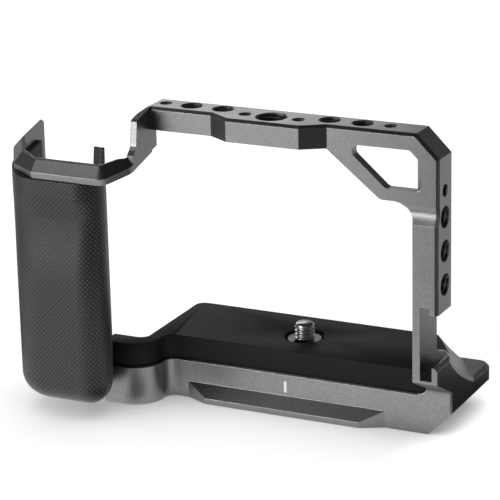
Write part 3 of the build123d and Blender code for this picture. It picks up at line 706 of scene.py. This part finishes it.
def sleeve_mesh(name):
    """Outer and inner grid, joined by strips along the top and the floor's edge, and closed at
    both ends of the path by one face each."""
    outer, outer_uv = sleeve_face(COLUMNS, OUTER_ROWS, SLEEVE_OUTER, SLEEVE_LOW, OUTER_ROUND, True)
    inner, inner_uv = sleeve_face(COLUMNS, INNER_ROWS, SLEEVE_INNER, SLEEVE_LOW + SKIN,
                                  INNER_ROUND, False)
    points = np.concatenate([outer.reshape(-1, 3), inner.reshape(-1, 3)])
    start = OUTER_ROWS * COLUMNS
    outer_top, inner_top = start - COLUMNS, start + (INNER_ROWS - 1) * COLUMNS
    k = np.arange(COLUMNS - 1)
    low_strip = np.stack([k + 1, k, start + k, start + k + 1], axis=1)
    top_strip = np.stack([outer_top + k, outer_top + k + 1, inner_top + k + 1, inner_top + k],
                         axis=1)
    ends = []
    for column, order in ((0, 1), (COLUMNS - 1, -1)):
        outwards = np.arange(OUTER_ROWS) * COLUMNS + column
        back = start + np.arange(INNER_ROWS)[::-1] * COLUMNS + column
        ends.append(np.concatenate([outwards, back])[::order])
    quads = np.concatenate([grid_faces(OUTER_ROWS, COLUMNS),
                            grid_faces(INNER_ROWS, COLUMNS, start)[:, ::-1], low_strip, top_strip])
    piece = new_mesh(name, points, [*quads, *ends], silicone)
    corners = np.empty(len(piece.data.loops), np.int32)
    piece.data.loops.foreach_get("vertex_index", corners)
    uv = np.concatenate([outer_uv.reshape(-1, 2), inner_uv.reshape(-1, 2)])[corners]
    piece.data.uv_layers.new(name="lattice").data.foreach_set("uv", uv.astype(np.float32).ravel())
    return piece


sleeve = sleeve_mesh("dotted_sleeve")
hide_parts("grip_sleeve")
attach(sleeve, "cage")
print("sleeve faces:", len(sleeve.data.polygons))

# %% [markdown]
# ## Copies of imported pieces
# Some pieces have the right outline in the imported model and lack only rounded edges. They could
# be drawn anew, but a copy is surer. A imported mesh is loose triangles, and a bevel needs real
# edges. So the copy's points are merged and its flat faces made whole before it is bevelled.

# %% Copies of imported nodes
def copied_mesh(node, name, finish, cut_above=None):
    """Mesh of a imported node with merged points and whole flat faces. Where a cut is given, in
    millimetres, the points above it are taken away and the hole that they leave is closed."""
    mesh = nodes[node].data.copy()
    mesh.name = name
    work = bmesh.new()
    work.from_mesh(mesh)
    bmesh.ops.remove_doubles(work, verts=work.verts, dist=1e-6)
    if cut_above is not None:
        above = [v for v in work.verts if v.co.z > cut_above * MM]
        bmesh.ops.delete(work, geom=above, context="VERTS")
        bmesh.ops.holes_fill(work, edges=[e for e in work.edges if e.is_boundary])
    bmesh.ops.dissolve_limit(work, angle_limit=math.radians(1), verts=work.verts, edges=work.edges)
    work.to_mesh(mesh)
    work.free()
    mesh.materials.clear()
    mesh.materials.append(finish)
    return mesh


def bevelled_piece(mesh, width, smooth):
    """Object of a mesh, with a live bevel on every edge that turns by more than 35 degrees. A
    smooth one is shaded smooth, with its flat faces kept flat by hardened normals."""
    mesh.polygons.foreach_set("use_smooth", [smooth] * len(mesh.polygons))
    piece = bpy.data.objects.new(mesh.name, mesh)
    bpy.context.scene.collection.objects.link(piece)
    bevel = piece.modifiers.new("rounded_edges", "BEVEL")
    bevel.width, bevel.segments, bevel.harden_normals = width * MM, 2, smooth
    bevel.limit_method, bevel.angle_limit = "ANGLE", math.radians(35)
    return piece


print("copies are made by", copied_mesh.__name__, "and", bevelled_piece.__name__)

# %% [markdown]
# ## Rubber pads
# The pads are cut from sheet, so their edges are square but never sharp. Each is a copy of its
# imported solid, rounded by a tenth of a millimetre or two and shaded smooth.

# %% Rubber pads
for node, width in (("base_pad", 0.2), ("top_pad", 0.1), ("column_pad", 0.12)):
    pad = bevelled_piece(copied_mesh(node, node + "_rubber", rubber), width, smooth=True)
    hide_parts(node)
    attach(pad, "cage")
    print(pad.name, len(pad.data.polygons), "faces")

# %% [markdown]
# ## Threads
# A thread is a ridge that climbs as it goes round. A Screw modifier could turn it, but then it
# would have to be cut to length and joined to its hole. On a grid of angle and height the
# radius is simply the plain radius minus the ridge, and the ridge depends only on the height
# less the climb at that angle. So one formula makes them all: inside the holes the ridge
# points inwards from the wall, and on the screw a groove is cut into the plain stud.

# %% Thread formula
THREAD_DEPTH, MOUTH_FADE, FLAT_ROOT, FLAT_CREST = 0.54, 0.6, 0.14, 0.86


def ridge(height, angle, pitch):
    """Share of the ridge, 0 to 1. The phase is what height over pitch, less the turn, leaves
    over a whole number. Twice its distance from a half is a triangle wave, and the ramp gives
    it a flat crest and a flat root."""
    phase = (height / pitch - angle / (2 * np.pi)) % 1.0
    return ramp(FLAT_ROOT, FLAT_CREST, np.abs(phase - 0.5) * 2)


def round_faces(rows, columns, closed=False):
    """Quads of a grid that goes round, so that its last column joins its first. In a closed
    one the last row joins the first too, as on a tyre."""
    row, column = np.meshgrid(np.arange(rows if closed else rows - 1), np.arange(columns),
                              indexing="ij")
    next_row, next_column = (row + 1) % rows, (column + 1) % columns
    corners = [row * columns + column, row * columns + next_column,
               next_row * columns + next_column, next_row * columns + column]
    return np.stack([corner.ravel() for corner in corners], axis=1)


print("a thread is", THREAD_DEPTH, "of its pitch deep")

# %% [markdown]
# A hole's thread is a thin closed sleeve in the hole: the ridge inside, and a plain face that
# lies just in the metal, so that no light gets between. Cutting the ridge into the packed
# piece itself would need a boolean on a mesh that has to stay as it is.

# %% Threaded sleeve of one hole
INTO_METAL = 0.06


def across_directions(axis):
    """Two directions across an axis that runs along x or z, and the axis itself."""
    along = np.array(axis, float)
    across = np.array([0.0, 1.0, 0.0]) if abs(along[0]) > 0.5 else np.array([1.0, 0.0, 0.0])
    return across, np.cross(along, across), along


def hole_thread(mouth, axis, radius, pitch, low, high, turns=40):
    """Closed sleeve in a hole, from one depth below its mouth to another. Its inner face is the
    radius minus the depth of the ridge, fading at both ends, and its outer face lies just in
    the metal."""
    first, second, along = across_directions(axis)
    rows = int((high - low) / pitch * 8) + 1
    height, angle = np.meshgrid(np.linspace(low, high, rows),
                                np.linspace(0, 2 * np.pi, turns, endpoint=False), indexing="ij")
    fade = ramp(0, MOUTH_FADE * pitch, height - low) * ramp(0, MOUTH_FADE * pitch, high - height)
    inner = radius - THREAD_DEPTH * pitch * ridge(height, angle, pitch) * fade
    radii = np.concatenate([inner, np.full((2, turns), radius + INTO_METAL)])[..., None]
    heights = np.concatenate([height, [[high] * turns, [low] * turns]])[..., None]
    angles = np.concatenate([angle, angle[:2]])[..., None]
    points = mouth + heights * along + radii * (np.cos(angles) * first + np.sin(angles) * second)
    return points.reshape(-1, 3), round_faces(rows + 2, turns, closed=True)[:, [0, 3, 2, 1]]


def joined(parts):
    """Several meshes as one: the faces of each count on from the points of those before it."""
    starts = np.cumsum([0] + [len(points) for points, _ in parts[:-1]])
    return (np.concatenate([points for points, _ in parts]),
            np.concatenate([faces + start for start, (_, faces) in zip(starts, parts)]))


print("outer face", INTO_METAL, "mm in the metal")

# %% [markdown]
# The holes take two sizes of camera screw, a quarter and three eighths of an inch. They are in
# the top bar, down the side, under the base, and one large one in the nose of the bar. All the
# holes of one place are one mesh, because they have one finish and never move apart.

# %% Threads in all holes
QUARTER_PITCH = 1.27
QUARTER, THREE_EIGHTHS = (3.175, QUARTER_PITCH), (4.7625, 1.5875)
SIDE_X, _, TOP_Z = box_in_mm("cage_frame")[1]
BASE_Z = box_in_mm("base_plate")[0][2]
ROW_X, MOUTH = 1.2, 0.35

# A hole has the middle of its mouth, its direction into the metal, its radius and pitch, and
# the depths at which its thread starts and ends.
hole_sets = {
    "top_threads": [((ROW_X + step, -20.4, TOP_Z), (0, 0, -1), *QUARTER, MOUTH, 4.6)
                    for step in (-17.75, -28.4, 17.75, 28.4)],
    "side_threads": [((SIDE_X, -21.2, z), (-1, 0, 0), *QUARTER, MOUTH, 7.9)
                     for z in (72.2, 61.7, 51.2)],
    "tripod_threads": [((x, 0, BASE_Z), (0, 0, 1), *QUARTER, MOUTH, 8.8) for x in (-23, 23)],
    "large_thread": [((ROW_X, -23.6, TOP_Z), (0, 0, -1), *THREE_EIGHTHS, 0.4, 7.0)]}
for name, holes in hole_sets.items():
    threads = new_mesh(name, *joined([hole_thread(*hole) for hole in holes]), anodised_with_painted_shade)
    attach(threads, "cage")
    print(name, len(holes), "holes,", len(threads.data.polygons), "faces")

# %% [markdown]
# ## Camera screw
# The screw is turned from steel bar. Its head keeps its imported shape, on a merged copy that is
# cut off above the head. The stud is made anew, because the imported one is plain: a surface of
# revolution whose radius follows a profile, with the thread cut in.

# %% Stud of the screw
STUD_LOW, SHOULDER_Z, TIP_Z = 6.3, 19.55, box_in_mm("camera_screw")[1][2]
THREAD_LOW, THREAD_HIGH, THREAD_ROWS = 19.7, 24.2, 46
NECK_RADIUS, CREST_RADIUS, TIP_RADIUS = 2.4, 3.15, 2.55
RUN_IN, RUN_OUT = (0.05, 0.55), (-0.1, 0.3)


def stud_grid(turns=64):
    """Radius along the height: neck, shoulder, thread, bevelled tip and a point on the axis at
    each end. On the threaded length a groove is cut in, less deep near both of its ends."""
    heights = np.concatenate([[STUD_LOW, STUD_LOW, SHOULDER_Z],
                              np.linspace(THREAD_LOW, THREAD_HIGH, THREAD_ROWS), [TIP_Z, TIP_Z]])
    plain = np.concatenate([[0.0, NECK_RADIUS, NECK_RADIUS], np.full(THREAD_ROWS, CREST_RADIUS),
                            [TIP_RADIUS, 0.0]])[:, None]
    height, angle = np.meshgrid(heights, np.linspace(0, 2 * np.pi, turns, endpoint=False),
                                indexing="ij")
    fade = ramp(*RUN_IN, height - THREAD_LOW) * ramp(*RUN_OUT, THREAD_HIGH - height)
    groove = THREAD_DEPTH * QUARTER_PITCH * (1 - ridge(height, angle, QUARTER_PITCH)) * fade
    radius = np.where(plain > 0, plain - groove, 0.0)
    points = np.stack([radius * np.cos(angle), radius * np.sin(angle), height], axis=-1)
    return points.reshape(-1, 3), round_faces(len(heights), turns)


print("stud from", STUD_LOW, "to", TIP_Z, "mm")

# %% Camera screw
HEAD_CUT, HEAD_BEVEL = 7.5, 0.08


def merged(piece, distance=0.001):
    """Merges points that share a place, such as those of a pole, and turns faces outwards."""
    work = bmesh.new()
    work.from_mesh(piece.data)
    bmesh.ops.remove_doubles(work, verts=work.verts, dist=distance * MM)
    bmesh.ops.recalc_face_normals(work, faces=work.faces)
    work.to_mesh(piece.data)
    work.free()
    return piece


head_mesh = copied_mesh("camera_screw", "turned_screw_head", turned_steel, HEAD_CUT)
head = bevelled_piece(head_mesh, HEAD_BEVEL, smooth=False)
stud = merged(new_mesh("turned_screw_stud", *stud_grid(), turned_steel))
for piece in (head, stud):
    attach(piece, "screw")
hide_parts("camera_screw")
print("stud faces:", len(stud.data.polygons))

# %% [markdown]
# ## Ring of the screw
# The folding ring is one piece of wire, bent to a bow, with its two ends turned in as pins
# that it swings on. A curve with a round bevel could make it. A circle carried along the line
# of its middle gives the same shape as a plain grid, with closed ends, and needs no conversion.

# %% Ring of bent wire
(_, _, wire_low), (ring_reach, ring_top, wire_high) = box_in_mm("camera_screw_ring")
WIRE, RING_Z = (wire_high - wire_low) / 2, (wire_high + wire_low) / 2
RING = ring_reach - WIRE
STRAIGHT, PIN_IN, BEND = ring_top - ring_reach, 4.3, 1.1


def ring_path():
    """Half of the wire's middle line: a pin inwards, a bend, a straight and a quarter circle.
    The other half is its mirror image, and together they are one line from pin to pin."""
    pin = np.array([[PIN_IN, 0.0], [(PIN_IN + RING - BEND) / 2, 0.0]])
    turn = np.linspace(-np.pi / 2, 0, 9)
    corner = np.stack([RING - BEND + BEND * np.cos(turn), BEND + BEND * np.sin(turn)], axis=1)
    arc_angle = np.linspace(0, np.pi / 2, 25)
    bow = np.stack([RING * np.cos(arc_angle), STRAIGHT + RING * np.sin(arc_angle)], axis=1)
    half = np.concatenate([pin, corner, bow])
    return np.concatenate([half, (half * [-1, 1])[-2::-1]])


def ring_grid(around=16):
    """Circle of the wire's radius at each point of the path, across its direction, with a
    point at each end."""
    line = ring_path()
    direction = np.gradient(line, axis=0)
    direction /= np.linalg.norm(direction, axis=1, keepdims=True)
    side = np.stack([direction[:, 1], -direction[:, 0]], axis=1)
    angle = np.linspace(0, 2 * np.pi, around, endpoint=False)
    rows = np.concatenate([[0], np.arange(len(line)), [len(line) - 1]])
    radius = np.concatenate([[0.0], np.full(len(line), WIRE), [0.0]])[:, None]
    plan = line[rows][:, None] + (radius * np.cos(angle))[..., None] * side[rows][:, None]
    height = RING_Z + radius * np.sin(angle)
    points = np.concatenate([plan, height[..., None]], axis=-1)
    return points.reshape(-1, 3), round_faces(len(rows), around)


ring = merged(new_mesh("bent_wire_ring", *ring_grid(), turned_steel))
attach(ring, "ring")
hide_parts("camera_screw_ring")
print("ring faces:", len(ring.data.polygons))
